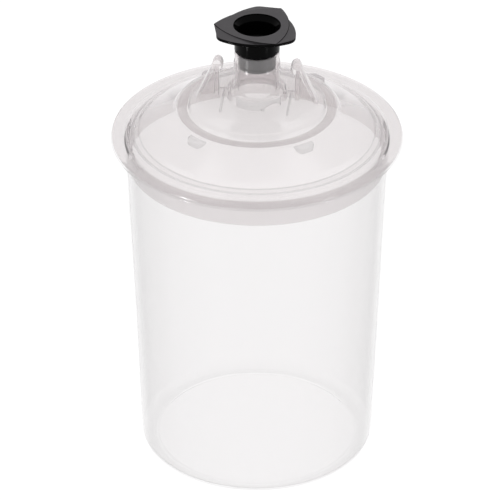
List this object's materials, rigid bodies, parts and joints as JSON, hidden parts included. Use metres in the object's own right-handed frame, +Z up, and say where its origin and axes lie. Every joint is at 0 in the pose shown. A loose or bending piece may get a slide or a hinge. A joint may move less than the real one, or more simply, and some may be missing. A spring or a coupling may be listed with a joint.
{
  "type": "lidded paint cup",
  "caption": "Clear tapered liner cup with flange, snap-in milky lid with spout neck, latch hooks and strainer, and a black three-sided stopper in the neck.",
  "frame": {"origin": "middle of the cup's foot, on the surface it stands on", "axes": "+Z up along the cup's axis and out of the neck; +X through the two latch hooks; -Y towards the apron on the neck's boss"},
  "size_m": [0.105, 0.105, 0.1718],
  "materials": {
    "clear_liner": "clear thin-walled plastic film, glossy",
    "milky_lid": "milky translucent polypropylene, semi-gloss",
    "nylon_mesh": "fine woven nylon strainer mesh",
    "black_stopper": "black moulded plastic, satin grip and glossy collar"
  },
  "bodies": {
    "cup": {"liner_cup": "clear_liner"},
    "lid": {"lid": "milky_lid", "strainer_mesh": "nylon_mesh"},
    "stopper": {"stopper": "black_stopper"}
  },
  "joints": [
    {"name": "lid_lift", "type": "slide", "parent": "cup", "child": "lid", "axis": [0, 0, 1], "range_m": [0, 0.04]},
    {"name": "stopper_pull", "type": "slide", "parent": "lid", "child": "stopper", "axis": [0, 0, 1], "range_m": [0, 0.03]}
  ]
}
